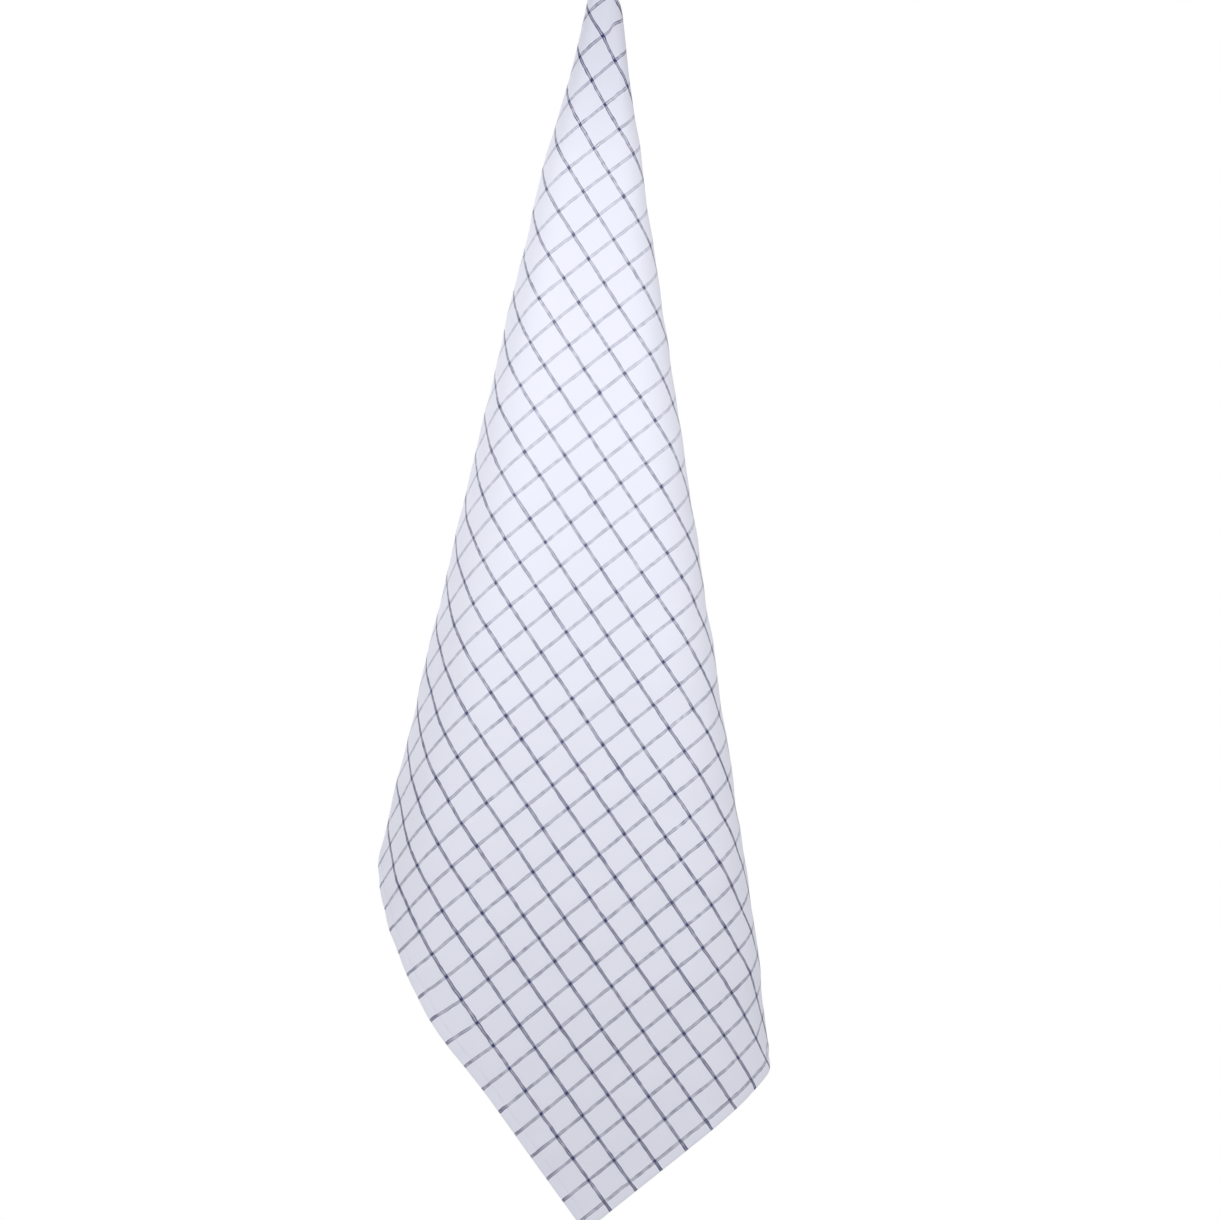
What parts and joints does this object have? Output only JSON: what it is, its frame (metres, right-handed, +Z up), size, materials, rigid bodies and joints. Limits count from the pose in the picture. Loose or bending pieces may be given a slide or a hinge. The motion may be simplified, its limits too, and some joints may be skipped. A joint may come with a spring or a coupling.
{
  "type": "tea towel",
  "caption": "Checked cotton tea towel hanging by one corner, its front smooth and both sides folded round to the back.",
  "frame": {"origin": "the corner of the cloth that the towel hangs by", "axes": "+Z up along the hang, +X to the right of someone facing the towel, +Y from the smooth front to the folds behind"},
  "size_m": [0.2635, 0.1093, 0.8806],
  "materials": {
    "cotton": "matte plain weave"
  },
  "bodies": {
    "root": {"towel": "cotton"}
  },
  "joints": []
}
